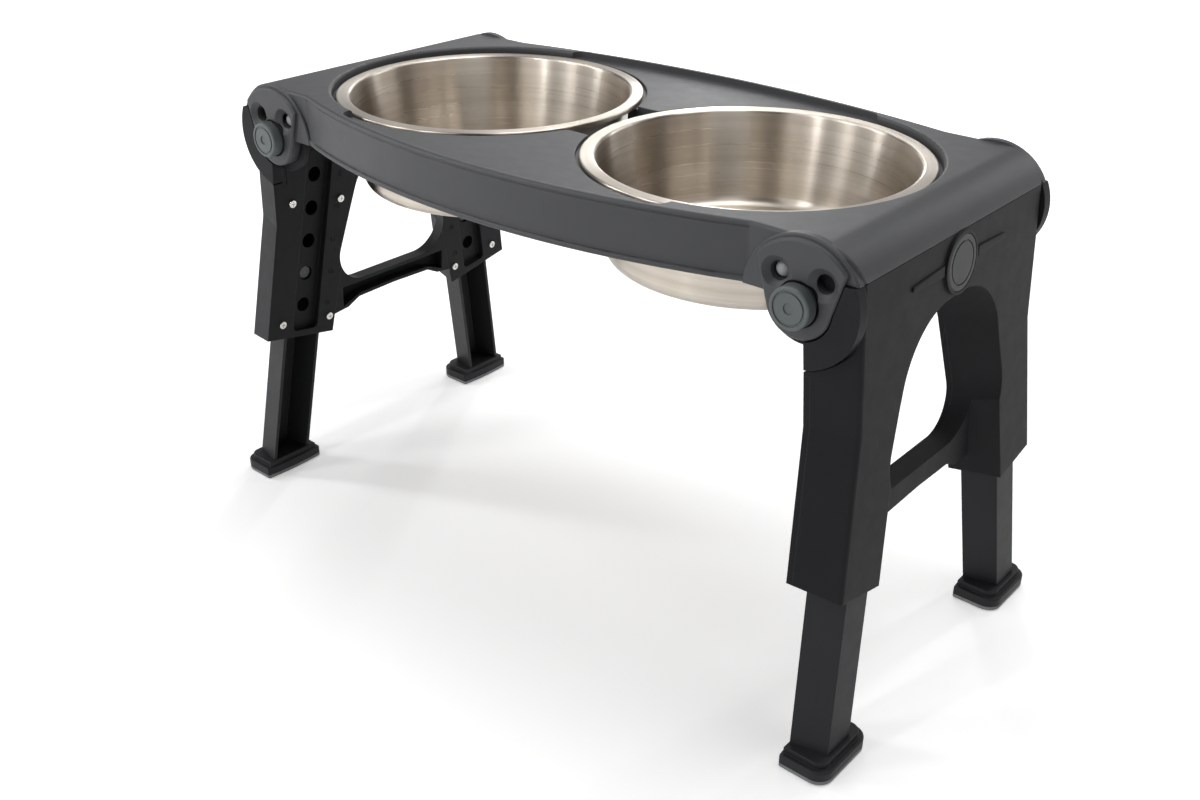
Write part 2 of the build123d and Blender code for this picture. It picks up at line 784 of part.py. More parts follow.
with BuildPart() as frame_half:
    add(frame_block.part)
    add(leg_cavity.part - guide_rib.part, mode=Mode.SUBTRACT)
    add(leg_cavity_top.part, mode=Mode.SUBTRACT)
    add(leg_space.part, mode=Mode.SUBTRACT)
    add(cap_cavity.part, mode=Mode.SUBTRACT)
    add(cover_region.part, mode=Mode.SUBTRACT)
    with BuildSketch(Plane.YZ.offset(arch_in_x - arch_reach[0])):
        with BuildLine():
            Polyline(
                (-1, brace_low[0] + brace_t),
                (brace_flat, brace_low[0] + brace_t - past),
                (brace_hollow_y, brace_low[0] + brace_t - brace_drop - past),
                (brace_hollow_y, brace_top_z - brace_t),
                (-1, brace_top_z - brace_t),
                close=True,
            )
        make_face()
    extrude(amount=brace_out_x - brace_t - arch_in_x + arch_reach[0], mode=Mode.SUBTRACT)
    with BuildSketch(hinge_plane(web_y + web_t)):
        Circle(sector_r + past)
    extrude(amount=-hub_r, mode=Mode.SUBTRACT)
    with BuildSketch(hinge_plane(web_y + web_t)) as sector_sketch:
        Circle(sector_r)
        Circle(sector_in_r, mode=Mode.SUBTRACT)
        with BuildLine():
            sector_top = slab_top_z - pivot_z
            Polyline(
                to_xz(inner_x(pivot_z - sector_r), pivot_z - sector_r),
                to_xz(inner_x(pivot_z - ear_gap), pivot_z - sector_step),
                (ear_low_right[0] - pivot_x, -sector_step),
                to_xz(ear_seam_right[0] + ear_gap, slab_top_z),
                (2 * sector_r, sector_top),
                (2 * sector_r, -2 * sector_r),
                to_xz(inner_x(pivot_z - sector_r), pivot_z - 2 * sector_r),
                close=True,
            )
        make_face(mode=Mode.INTERSECT)
    extrude(amount=-(sector_y - web_y - web_t))
    with BuildSketch(hinge_plane(web_y)):
        Circle(web_r)
    extrude(amount=-web_t)
    with BuildSketch(hinge_plane(web_y)):
        Circle(boss_r)
    extrude(amount=-(ring_y - web_y))
    with BuildSketch(hinge_plane(seat_rib_y)):
        Circle(seat_rib_r)
        with Locations((slab_top[0] - outer_wall - pivot_x, -seat_rib_r)):
            Rectangle(
                slab_top[0] - outer_wall - pivot_x,
                seat_rib_r + cap_top_z - pivot_z + past / 2,
                align=(Align.MAX, Align.MIN),
            )
    extrude(amount=-seat_rib_t)
    with BuildSketch(hinge_plane(web_y - past)):
        Circle(stem_r + slide_gap)
        with Locations(polar(detent_r, detent_deg)):
            Circle(pin_r + slide_gap)
    extrude(amount=-hub_r, mode=Mode.SUBTRACT)
    with BuildSketch(leg_plane.offset(cover_t)):
        with Locations((-screw_y, screw_high), (-screw_y, screw_low)):
            Circle(screw_boss_r)
    extrude(amount=near_boss)
    with BuildSketch(leg_plane.offset(cover_t)):
        with Locations((screw_y, screw_high), (screw_y, screw_low)):
            Circle(screw_boss_r)
    extrude(amount=leg_out + outer_wall - cover_t)
    with BuildSketch(leg_plane.offset(cover_t - past)):
        with Locations(
            (-screw_y, screw_high), (-screw_y, screw_low), (screw_y, screw_high), (screw_y, screw_low)
        ):
            Circle(screw_r + slide_gap)
    extrude(amount=screw_length - cover_t + 2 * past, mode=Mode.SUBTRACT)

with BuildPart() as right_leg_frame:
    add(frame_half.part)
    mirror(about=Plane.XZ)
    badge_x = slab_at(badge_z)[0]
    badge_lean = (slab_kink[0] - slab_top[0]) / (slab_top_z - slab_kink_z)
    badge_plane = Plane(origin=(badge_x, 0, badge_z), x_dir=(0, 1, 0), z_dir=(1, 0, badge_lean))
    with BuildSketch(badge_plane.offset(-badge_sunk)):
        Circle(badge_r + badge_ring)
    extrude(amount=badge_sunk + badge_ring_t)
    with BuildSketch(badge_plane.offset(-badge_sunk)):
        Circle(badge_r + badge_gap)
    extrude(amount=badge_sunk + badge_ring_t + past, mode=Mode.SUBTRACT)

with BuildPart() as right_end_badge:
    with BuildSketch(badge_plane.offset(-badge_sunk)):
        Circle(badge_r)
    extrude(amount=badge_t)
    with BuildSketch(badge_plane.offset(badge_t - badge_sunk)):
        Circle(badge_line_r)
        Circle(badge_line_r - badge_sunk, mode=Mode.SUBTRACT)
    extrude(amount=-ring_groove, mode=Mode.SUBTRACT)
    fillet(right_end_badge.edges().group_by(Axis.X)[-1].sort_by(SortBy.LENGTH)[-1], badge_edge_r)

# Cover over the inner side of one leg, with the hole channel
peg_steps = [(rest_hole - k) * hole_pitch for k in range(1, hole_count + 1)]
channel_length = channel_top + channel_end

with BuildPart() as leg_cover:
    add(frame_block.part)
    add(cover_region.part, mode=Mode.INTERSECT)
    with BuildSketch(leg_plane):
        with Locations((0, -channel_end - channel_wall)):
            Rectangle(
                2 * (channel_half + channel_wall),
                channel_length + channel_wall,
                align=(Align.CENTER, Align.MIN),
            )
    extrude(amount=channel_deep + channel_floor)
    with BuildSketch(leg_plane.offset(-1)) as channel_sketch:
        with Locations((0, -channel_end)):
            Rectangle(2 * channel_half, channel_length + hub_r, align=(Align.CENTER, Align.MIN))
        fillet(channel_sketch.vertices().sort_by(Axis.Y)[0:2], channel_corner_r)
    extrude(amount=channel_deep + past, mode=Mode.SUBTRACT)
    with BuildSketch(leg_plane):
        with Locations(*[(0, h) for h in peg_steps]):
            Circle(peg_hole_r)
    extrude(amount=channel_deep + channel_floor + past, mode=Mode.SUBTRACT)
    with BuildSketch(leg_plane.offset(-1)):
        with Locations(
            (-screw_y, screw_high), (-screw_y, screw_low), (screw_y, screw_high), (screw_y, screw_low)
        ):
            Circle(screw_r + slide_gap)
    extrude(amount=cover_t + 2 * past, mode=Mode.SUBTRACT)

with BuildPart() as cover_screws:
    with BuildSketch(leg_plane):
        with Locations(
            (-screw_y, screw_high), (-screw_y, screw_low), (screw_y, screw_high), (screw_y, screw_low)
        ):
            Circle(screw_head_r)
    extrude(amount=-screw_head_t)
    screw_tops = cover_screws.faces().filter_by(lambda f: f.center().X < inner_x(f.center().Z) - past)
    fillet(screw_tops.edges(), screw_edge_r)
    with BuildSketch(leg_plane):
        with Locations(
            (-screw_y, screw_high), (-screw_y, screw_low), (screw_y, screw_high), (screw_y, screw_low)
        ):
            Circle(screw_r)
    extrude(amount=screw_length)
    with BuildSketch(leg_plane.offset(-screw_head_t)):
        with Locations(
            (-screw_y, screw_high), (-screw_y, screw_low), (screw_y, screw_high), (screw_y, screw_low)
        ):
            Rectangle(screw_slot[0], screw_slot[1])
            Rectangle(screw_slot[1], screw_slot[0])
    extrude(amount=screw_edge_r, mode=Mode.SUBTRACT)

# Channel-shaped inner leg that telescopes along the splayed leg axis
side_draft = (leg_half_in - leg_half_out) / (leg_out - leg_in)
back_x = leg_out - leg_wall

with BuildPart() as inner_leg:
    with BuildSketch(leg_section.offset(leg_bottom_reach)):
        with BuildLine():
            Polyline(
                (leg_in, -leg_half_in),
                (leg_out, -leg_half_out),
                (leg_out, leg_half_out),
                (leg_in, leg_half_in),
                close=True,
            )
        make_face()
        with BuildLine():
            mouth_half = leg_half_in + side_draft - leg_wall
            back_half = leg_half_out + side_draft * leg_wall - leg_wall
            Polyline(
                (leg_in - past, -mouth_half),
                (back_x, -back_half),
                (back_x, back_half),
                (leg_in - past, mouth_half),
                close=True,
            )
        make_face(mode=Mode.SUBTRACT)
    extrude(amount=leg_top - leg_bottom_reach)
    with BuildSketch(leg_section.offset(-leg_top)):
        with Locations((bridge_in + bridge_t / 2, 0)):
            Rectangle(bridge_t, 2 * (leg_half_out + leg_wall))
    extrude(amount=2 * leg_top)
    with BuildSketch(leg_plane.offset(bridge_in - past)):
        Circle(peg_r + slide_gap)
    extrude(amount=bridge_t + 2 * past, mode=Mode.SUBTRACT)
    split(bisect_by=Plane.XY.offset(leg_floor_z), keep=Keep.TOP)

with BuildPart() as height_button:
    with BuildSketch(leg_plane.offset(peg_tip)):
        Circle(peg_r)
    extrude(amount=bridge_in + bridge_t - peg_tip)
    fillet(height_button.edges().sort_by(lambda e: (e.center() - Vector(*leg_origin)).dot(leg_outward))[0], 1)
    with BuildSketch(leg_plane.offset(bridge_in + bridge_t)):
        Circle(collar_r)
    extrude(amount=collar_t)

peg_coil_plane = leg_plane.offset(peg_coil_in + wire_r)
peg_coil_length = peg_coil_out - peg_coil_in - 2 * wire_r

with BuildPart() as height_spring:
    with BuildLine() as peg_coil_path:
        Helix(pitch=peg_coil_length / peg_coil_turns, height=peg_coil_length, radius=coil_r)
    with BuildSketch(Plane(origin=peg_coil_path.line @ 0, z_dir=peg_coil_path.line % 0)):
        Circle(wire_r)
    sweep(is_frenet=True)
height_spring_part = peg_coil_plane.from_local_coords(height_spring.part)

# Hinge button with the arm and the domed pin that enters the hub
pin_at = polar(detent_r, detent_deg)
arm_turn = math.radians(detent_deg)
tangent_turn = math.acos((stem_r - pin_hub_r) / detent_r)

with BuildPart() as hinge_button:
    with BuildSketch(hinge_plane(ear_y + button_gap)):
        Circle(button_r)
    extrude(amount=-(button_y - ear_y - button_gap))
    fillet(hinge_button.edges().group_by(Axis.Y)[-1], button_edge_r)
    with BuildSketch(hinge_plane(button_y)):
        Circle(button_line[0])
        Circle(button_line[1], mode=Mode.SUBTRACT)
        Circle(button_dot_r)
    extrude(amount=ring_groove, mode=Mode.SUBTRACT)
    with BuildSketch(hinge_plane(arm_y)):
        Circle(stem_r)
    extrude(amount=-(ear_y + button_gap - arm_y))
    with BuildSketch(hinge_plane(arm_y)):
        with Locations(pin_at):
            Circle(pin_hub_r)
        with BuildLine():
            side_one = arm_turn + tangent_turn
            side_two = arm_turn - tangent_turn
            Polyline(
                (stem_r * math.cos(side_one), stem_r * math.sin(side_one)),
                (pin_at[0] + pin_hub_r * math.cos(side_one), pin_at[1] + pin_hub_r * math.sin(side_one)),
                (pin_at[0] + pin_hub_r * math.cos(side_two), pin_at[1] + pin_hub_r * math.sin(side_two)),
                (stem_r * math.cos(side_two), stem_r * math.sin(side_two)),
                close=True,
            )
        make_face()
    extrude(amount=-arm_t)
    with BuildSketch(hinge_plane(arm_y + arm_t)):
        with Locations(pin_at):
            Circle(pin_r)
    extrude(amount=-(pin_tip_y - arm_y - arm_t))
    pin_end = hinge_button.faces().filter_by(lambda f: abs(f.center().Y - pin_tip_y) < near)
    fillet(pin_end.edges(), pin_r - pin_flat_r)
    with BuildSketch(hinge_plane(arm_y)):
        Circle(spring_bore_r)
    extrude(amount=-(coil_high_y + wire_r - arm_y), mode=Mode.SUBTRACT)

coil_plane = hinge_plane(coil_high_y - wire_r)
coil_length = coil_high_y - coil_low_y - 2 * wire_r

with BuildPart() as hinge_spring:
    with BuildLine() as coil_path:
        Helix(pitch=coil_length / coil_turns, height=coil_length, radius=coil_r)
    with BuildSketch(Plane(origin=coil_path.line @ 0, z_dir=coil_path.line % 0)):
        Circle(wire_r)
    sweep(is_frenet=True)
hinge_spring_part = coil_plane.from_local_coords(hinge_spring.part)

# Foot: grey pad below a black cap that closes the leg end
with BuildSketch() as foot_plan:
    with BuildLine():
        foot_mid_y = (foot_near_y + foot_far_y) / 2
        Polyline(
            (foot_in_x, foot_near_y),
            (foot_out_x, foot_near_y),
            (foot_out_x, foot_far_y),
            (foot_in_x, foot_far_y),
        )
        ThreePointArc((foot_in_x, foot_far_y), (foot_in_x - foot_bulge, foot_mid_y), (foot_in_x, foot_near_y))
    make_face()
    fillet(foot_plan.vertices().group_by(Axis.X)[-1], foot_corner_r)
    fillet(foot_plan.vertices().group_by(Axis.X)[0], foot_bulge)

with BuildPart() as foot_pad:
    with BuildSketch():
        add(foot_plan.sketch)
    extrude(amount=pad_t)
    fillet(foot_pad.edges().group_by(Axis.Z)[0], foot_edge_r)

with BuildPart() as foot_cap:
    with BuildSketch(Plane.XY.offset(pad_t)):
        add(foot_plan.sketch)
    extrude(amount=flange_top_z - pad_t)
    fillet(foot_cap.edges().group_by(Axis.Z)[-1], foot_edge_r)
    with BuildSketch(Plane.XY.offset(flange_top_z)) as collar_sketch:
        with Locations((foot_out_x - collar_inset, foot_mid_y)):
            Rectangle(
                foot_out_x - foot_in_x - collar_inset - collar_in_step,
                foot_far_y - foot_near_y - 2 * collar_inset,
                align=(Align.MAX, Align.CENTER),
            )
        fillet(collar_sketch.vertices().group_by(Axis.X)[-1], foot_corner_r - collar_inset)
    extrude(amount=collar_top_z - flange_top_z)
    fillet(foot_cap.edges().group_by(Axis.Z)[-1], foot_edge_r / 2)
    add(inner_leg.part, mode=Mode.SUBTRACT)


def save(shape, name):
    """Label a piece and write its file."""
    shape.label = name
    export_step(shape, "parts/" + name + ".step")


def save_four(shape, name):
    """Write the same piece for the four corners of the stand."""
    left = mirror(shape, about=Plane.YZ)
    save(Part(shape.wrapped), "rear_right_" + name)
    save(Part(left.wrapped), "rear_left_" + name)
    save(Part(mirror(shape, about=Plane.XZ).wrapped), "front_right_" + name)
    save(Part(mirror(left, about=Plane.XZ).wrapped), "front_left_" + name)


save(tray.part, "tray")
save(Pos(bowl_x, 0, 0) * right_bowl.part, "right_bowl")
save(Pos(-bowl_x, 0, 0) * right_bowl.part, "left_bowl")
save(right_leg_frame.part, "right_leg_frame")
save(Part(mirror(right_leg_frame.part, about=Plane.YZ).wrapped), "left_leg_frame")
save(right_end_badge.part, "right_end_badge")
save(Part(mirror(right_end_badge.part, about=Plane.YZ).wrapped), "left_end_badge")
save_four(leg_cover.part, "leg_cover")
save_four(cover_screws.part, "cover_screws")
save_four(inner_leg.part, "inner_leg")
save_four(height_button.part, "height_button")
save_four(height_spring_part, "height_spring")
save_four(hinge_button.part, "hinge_button")
save_four(hinge_spring_part, "hinge_spring")
save_four(foot_cap.part, "foot_cap")
save_four(foot_pad.part, "foot_pad")
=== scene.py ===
"""Looks of the adjustable pet feeder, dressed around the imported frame.

Every class below finishes one sub-assembly of the feeder. Lengths are in metres
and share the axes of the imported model: +X to the right end, +Y to the rear, +Z up.
"""

import logging
import math
from dataclasses import dataclass, field
from enum import Enum

import bpy
from mathutils import Matrix, Vector


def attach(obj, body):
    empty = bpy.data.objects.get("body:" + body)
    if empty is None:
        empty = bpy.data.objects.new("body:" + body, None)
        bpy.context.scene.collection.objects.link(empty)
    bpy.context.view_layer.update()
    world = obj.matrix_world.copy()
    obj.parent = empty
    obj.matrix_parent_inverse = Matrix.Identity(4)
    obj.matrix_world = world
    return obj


logging.basicConfig(level=logging.INFO, format="%(levelname)s %(message)s")
log = logging.getLogger("feeder")

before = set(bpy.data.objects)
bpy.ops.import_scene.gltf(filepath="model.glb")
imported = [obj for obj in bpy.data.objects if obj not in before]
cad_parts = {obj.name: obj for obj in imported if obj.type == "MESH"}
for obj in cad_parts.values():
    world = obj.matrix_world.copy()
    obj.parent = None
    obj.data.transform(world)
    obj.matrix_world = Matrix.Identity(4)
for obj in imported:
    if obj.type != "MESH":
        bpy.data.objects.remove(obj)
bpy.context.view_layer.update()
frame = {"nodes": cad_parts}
MM = 0.001
# Noise lies mostly between these two values, so they are stretched to the full range.
NOISE_LOW = 0.3
NOISE_HIGH = 0.7
# Rays that each point casts to find a rounded edge.
EDGE_SAMPLES = 4
# A face whose normal reaches this far along an axis faces that way.
FACING = 0.9

Colour = tuple[float, float, float, float]
Socket = bpy.types.NodeSocket


class Side(Enum):
    """Ends of the feeder, with the sign of x there."""

    LEFT = ("left", -1)
    RIGHT = ("right", 1)

    @property
    def word(self) -> str:
        """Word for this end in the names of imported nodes."""
        return self.value[0]

    @property
    def sign(self) -> int:
        """Sign of x at this end."""
        return self.value[1]


class Row(Enum):
    """Rows of legs, with the sign of y there."""

    FRONT = ("front", -1)
    REAR = ("rear", 1)

    @property
    def word(self) -> str:
        """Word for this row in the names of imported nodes."""
        return self.value[0]

    @property
    def sign(self) -> int:
        """Sign of y in this row."""
        return self.value[1]


def linear(hex_code: str) -> Colour:
    """Turn an sRGB hex colour into the linear values that shaders take.

    Args:
        hex_code: Six hex digits with a leading hash sign.

    Returns:
        Linear red, green, blue and an alpha of one.
    """
    parts = [int(hex_code[i : i + 2], 16) / 255 for i in (1, 3, 5)]
    red, green, blue = (p / 12.92 if p <= 0.04045 else ((p + 0.055) / 1.055) ** 2.4 for p in parts)
    return (red, green, blue, 1.0)


def per_metre(size_mm: float) -> float:
    """Scale of a pattern whose marks have this size in millimetres."""
    return 1000 / size_mm


def add_node(
    owner: bpy.types.Material | bpy.types.World,
    kind: str,
    settings: dict[str | int, object] | None = None,
    links: dict[str | int, Socket] | None = None,
) -> bpy.types.Node:
    """Add a node with its settings and links.

    Args:
        owner: Material or world that holds the node.
        kind: Blender's class name of the node.
        settings: Values for the node's own properties, or for its inputs by name or number.
        links: Sockets that feed the node's inputs, by name or number.

    Returns:
        The new node.
    """
    tree = owner.node_tree
    node = tree.nodes.new(kind)
    for key, value in (settings or {}).items():
        if isinstance(key, str) and hasattr(node, key):
            setattr(node, key, value)
        else:
            node.inputs[key].default_value = value
    for key, source in (links or {}).items():
        tree.links.new(source, node.inputs[key])
    return node


def start_material(name: str) -> tuple[bpy.types.Material, bpy.types.Node, Socket]:
    """Start a material with its shader and object coordinates.

    Args:
        name: Name of the material.

    Returns:
        The material, its shader node and the coordinates in metres.
    """
    material = bpy.data.materials.new(name)
    material.use_nodes = True
    place = add_node(material, "ShaderNodeTexCoord").outputs["Object"]
    return material, material.node_tree.nodes["Principled BSDF"], place


@dataclass(frozen=True)
class MouldedPolypropylene:
    """Polypropylene moulded in a spark-eroded tool.

    The tool leaves an even grain with a soft sheen, a little smoother and duller in
    patches. Rounded edges are painted a little paler, which is a painted highlight.
    """

    name: str
    colour: str
    shade: str
    rubbed: str
    roughness: float = 0.5
    smoother: float = 0.02
    duller: float = 0.03
    specular: float = 0.35
    # Spark-eroded grain is about 0.3 mm. It is drawn coarser, so that it shows.
    grain_mm: float = 1.3
    grain_depth_mm: float = 0.05
    # The melt cools unevenly over a hand's breadth, which clouds the tone slightly.
    cloud_mm: float = 45.0
    cloud_low: float = 0.35
    cloud_high: float = 0.65
    rub_mm: float = 9.0
    edge_mm: float = 0.9
    # Cosine between the face and the rounded edge where the painted edge highlight starts and
    # where it is full.
    rub_start: float = 0.995
    rub_full: float = 0.9
    rub_share: float = 0.55
    ior: float = 1.49

    def build(self) -> bpy.types.Material:
        """Make the material.

        Returns:
            The finished material.
        """
        material, shader, place = start_material(self.name)
        out = material.node_tree.links.new
        cloud = add_node(
            material,
            "ShaderNodeTexNoise",
            {"Scale": per_metre(self.cloud_mm), "Detail": 4.0},
            {"Vector": place},
        )
        share = add_node(
            material,
            "ShaderNodeMapRange",
            {"From Min": self.cloud_low, "From Max": self.cloud_high},
            {"Value": cloud.outputs["Fac"]},
        )
        tone = add_node(
            material,
            "ShaderNodeMix",
            {"data_type": "RGBA", 6: linear(self.colour), 7: linear(self.shade)},
            {"Factor": share.outputs["Result"]},
        )
        rounded = add_node(
            material, "ShaderNodeBevel", {"samples": EDGE_SAMPLES, "Radius": self.edge_mm * MM}
        )
        face = add_node(material, "ShaderNodeNewGeometry")
        turn = add_node(
            material,
            "ShaderNodeVectorMath",
            {"operation": "DOT_PRODUCT"},
            {0: rounded.outputs["Normal"], 1: face.outputs["Normal"]},
        )
        # Rounded edges are painted paler than the face: a painted highlight.
        edge = add_node(
            material,
            "ShaderNodeMapRange",
            {"From Min": self.rub_start, "From Max": self.rub_full, "To Max": self.rub_share},
            {"Value": turn.outputs["Value"]},
        )
        skin = add_node(
            material,
            "ShaderNodeMix",
            {"data_type": "RGBA", 7: linear(self.rubbed)},
            {"Factor": edge.outputs["Result"], 6: tone.outputs[2]},
        )
        out(skin.outputs[2], shader.inputs["Base Color"])
        rub = add_node(
            material,
            "ShaderNodeTexNoise",
            {"Scale": per_metre(self.rub_mm), "Detail": 5.0},
            {"Vector": place},
        )
        gloss = add_node(
            material,
            "ShaderNodeMapRange",
            {
                "From Min": NOISE_LOW,
                "From Max": NOISE_HIGH,
                "To Min": self.roughness - self.smoother,
                "To Max": self.roughness + self.duller,
            },
            {"Value": rub.outputs["Fac"]},
        )
        out(gloss.outputs["Result"], shader.inputs["Roughness"])
        grain = add_node(
            material,
            "ShaderNodeTexNoise",
            {"Scale": per_metre(self.grain_mm), "Detail": 2.0},
            {"Vector": place},
        )
        relief = add_node(
            material,
            "ShaderNodeBump",
            {"Distance": self.grain_depth_mm * MM},
            {"Height": grain.outputs["Fac"], "Normal": rounded.outputs["Normal"]},
        )
        out(relief.outputs["Normal"], shader.inputs["Normal"])
        shader.inputs["IOR"].default_value = self.ior
        shader.inputs["Specular IOR Level"].default_value = self.specular
        return material


@dataclass(frozen=True)
class SpunStainlessSteel:
    """Stainless sheet, spun and then brushed round the axis of the bowl.

    The brushing spreads each reflection up and down the wall, so lamps show as tall
    streaks, with fine lines round the bowl across them.
    """

    name: str
    centre_x: float
    colour: str = "#cfc7bd"
    shade: str = "#bdb4a8"
    # Brushing lines are about 0.1 mm apart. They are drawn coarser, so that they show.
    line_mm: float = 0.7
    band_mm: float = 4.0
    line_depth_mm: float = 0.012
    roughness: tuple[float, float] = (0.27, 0.35)
    # Lines run far round the bowl before they fade, here about 250 times their width.
    stretch: float = 0.0004
    # Fine brushing spreads light almost wholly across its lines.
    brushing: float = 0.95
    # A quarter turn makes the streaks run up the wall.
    streak_turn: float = 0.25

    def build(self) -> bpy.types.Material:
        """Make the material.

        Returns:
            The finished material.
        """
        material, shader, place = start_material(self.name)
        out = material.node_tree.links.new
        centred = add_node(
            material,
            "ShaderNodeVectorMath",
            {"operation": "SUBTRACT", 1: (self.centre_x, 0.0, 0.0)},
            {0: place},
        )
        parts = add_node(
            material, "ShaderNodeSeparateXYZ", None, {"Vector": centred.outputs["Vector"]}
        )
        flat = add_node(
            material,
            "ShaderNodeVectorMath",
            {"operation": "MULTIPLY", 1: (1.0, 1.0, 0.0)},
            {0: centred.outputs["Vector"]},
        )
        radius = add_node(
            material,
            "ShaderNodeVectorMath",
            {"operation": "LENGTH"},
            {0: flat.outputs["Vector"]},
        )
        angle = add_node(
            material,
            "ShaderNodeMath",
            {"operation": "ARCTAN2"},
            {0: parts.outputs["Y"], 1: parts.outputs["X"]},
        )
        slow = add_node(
            material,
            "ShaderNodeMath",
            {"operation": "MULTIPLY", 1: self.stretch},
            {0: angle.outputs["Value"]},
        )
        around = add_node(
            material,
            "ShaderNodeCombineXYZ",
            None,
            {"X": radius.outputs["Value"], "Y": parts.outputs["Z"], "Z": slow.outputs["Value"]},
        )
        lines = add_node(
            material,
            "ShaderNodeTexNoise",
            {"Scale": per_metre(self.line_mm), "Detail": 3.0},
            {"Vector": around.outputs["Vector"]},
        )
        bands = add_node(
            material,
            "ShaderNodeTexNoise",
            {"Scale": per_metre(self.band_mm), "Detail": 2.0},
            {"Vector": around.outputs["Vector"]},
        )
        share = add_node(
            material,
            "ShaderNodeMapRange",
            {"From Min": NOISE_LOW, "From Max": NOISE_HIGH},
            {"Value": bands.outputs["Fac"]},
        )
        tone = add_node(
            material,
            "ShaderNodeMix",
            {"data_type": "RGBA", 6: linear(self.colour), 7: linear(self.shade)},
            {"Factor": share.outputs["Result"]},
        )
        out(tone.outputs[2], shader.inputs["Base Color"])
        smooth, rough = self.roughness
        gloss = add_node(
            material,
            "ShaderNodeMapRange",
            {"From Min": NOISE_LOW, "From Max": NOISE_HIGH, "To Min": smooth, "To Max": rough},
            {"Value": lines.outputs["Fac"]},
        )
        out(gloss.outputs["Result"], shader.inputs["Roughness"])
        relief = add_node(
            material,
            "ShaderNodeBump",
            {"Distance": self.line_depth_mm * MM},
            {"Height": lines.outputs["Fac"]},
        )
        out(relief.outputs["Normal"], shader.inputs["Normal"])
        tangent = add_node(
            material, "ShaderNodeTangent", {"direction_type": "RADIAL", "axis": "Z"}
        )
        out(tangent.outputs["Tangent"], shader.inputs["Tangent"])
        shader.inputs["Metallic"].default_value = 1.0
        shader.inputs["Anisotropic"].default_value = self.brushing
        shader.inputs["Anisotropic Rotation"].default_value = self.streak_turn
        return material


@dataclass(frozen=True)
class DrawnSteel:
    """Small steel parts: nickel-plated screw heads, which sparkle, or plain spring wire."""

    name: str
    colour: str
    shade: str
    roughness: float
    smoother: float = 0.05
    duller: float = 0.07
    # Plating and drawing leave marks about a millimetre apart.
    mark_mm: float = 1.2

    def build(self) -> bpy.types.Material:
        """Make the material.

        Returns:
            The finished material.
        """
        material, shader, place = start_material(self.name)
        out = material.node_tree.links.new
        marks = add_node(
            material,
            "ShaderNodeTexNoise",
            {"Scale": per_metre(self.mark_mm), "Detail": 3.0},
            {"Vector": place},
        )
        tone = add_node(
            material,
            "ShaderNodeMix",
            {"data_type": "RGBA", 6: linear(self.colour), 7: linear(self.shade)},
            {"Factor": marks.outputs["Fac"]},
        )
        out(tone.outputs[2], shader.inputs["Base Color"])
        gloss = add_node(
            material,
            "ShaderNodeMapRange",
            {
                "From Min": NOISE_LOW,
                "From Max": NOISE_HIGH,
                "To Min": self.roughness - self.smoother,
                "To Max": self.roughness + self.duller,
            },
            {"Value": marks.outputs["Fac"]},
        )
        out(gloss.outputs["Result"], shader.inputs["Roughness"])
        shader.inputs["Metallic"].default_value = 1.0
        return material


@dataclass(frozen=True)
class SatinAcetal:
    """Grey acetal of the buttons, moulded in a polished tool.

    It is smooth and slightly waxy. The domed locking pin of the same moulding is
    paler where it has rubbed in the holes of the hub.
    """

    name: str = "satin_acetal_grey"
    colour: str = "#5e6465"
    shade: str = "#535a5b"
    pin_colour: str = "#a3a6a7"
    # The pin lies nearer the middle of the feeder than this.
    pin_y: float = 0.1072
    pin_fade: float = 0.0002
    cloud_mm: float = 8.0
    roughness: tuple[float, float] = (0.38, 0.5)
    # A polished tool leaves hardly any grain. It is drawn coarser, so that it shows.
    grain_mm: float = 1.1
    grain_depth_mm: float = 0.02
    edge_mm: float = 0.5
    ior: float = 1.48

    def build(self) -> bpy.types.Material:
        """Make the material.

        Returns:
            The finished material.
        """
        material, shader, place = start_material(self.name)
        out = material.node_tree.links.new
        cloud = add_node(
            material,
            "ShaderNodeTexNoise",
            {"Scale": per_metre(self.cloud_mm), "Detail": 4.0},
            {"Vector": place},
        )
        skin = add_node(
            material,
            "ShaderNodeMix",
            {"data_type": "RGBA", 6: linear(self.colour), 7: linear(self.shade)},
            {"Factor": cloud.outputs["Fac"]},
        )
        parts = add_node(material, "ShaderNodeSeparateXYZ", None, {"Vector": place})
        depth = add_node(
            material, "ShaderNodeMath", {"operation": "ABSOLUTE"}, {0: parts.outputs["Y"]}
        )
        inside = add_node(
            material,
            "ShaderNodeMapRange",
            {"From Min": self.pin_y + self.pin_fade, "From Max": self.pin_y},
            {"Value": depth.outputs["Value"]},
        )
        tone = add_node(
            material,
            "ShaderNodeMix",
            {"data_type": "RGBA", 7: linear(self.pin_colour)},
            {"Factor": inside.outputs["Result"], 6: skin.outputs[2]},
        )
        out(tone.outputs[2], shader.inputs["Base Color"])
        smooth, rough = self.roughness
        gloss = add_node(
            material,
            "ShaderNodeMapRange",
            {"From Min": NOISE_LOW, "From Max": NOISE_HIGH, "To Min": smooth, "To Max": rough},
            {"Value": cloud.outputs["Fac"]},
        )
        out(gloss.outputs["Result"], shader.inputs["Roughness"])
        rounded = add_node(
            material, "ShaderNodeBevel", {"samples": EDGE_SAMPLES, "Radius": self.edge_mm * MM}
        )
        grain = add_node(
            material,
            "ShaderNodeTexNoise",
            {"Scale": per_metre(self.grain_mm), "Detail": 2.0},
            {"Vector": place},
        )
        relief = add_node(
            material,
            "ShaderNodeBump",
            {"Distance": self.grain_depth_mm * MM},
            {"Height": grain.outputs["Fac"], "Normal": rounded.outputs["Normal"]},
        )
        out(relief.outputs["Normal"], shader.inputs["Normal"])
        shader.inputs["IOR"].default_value = self.ior
        return material


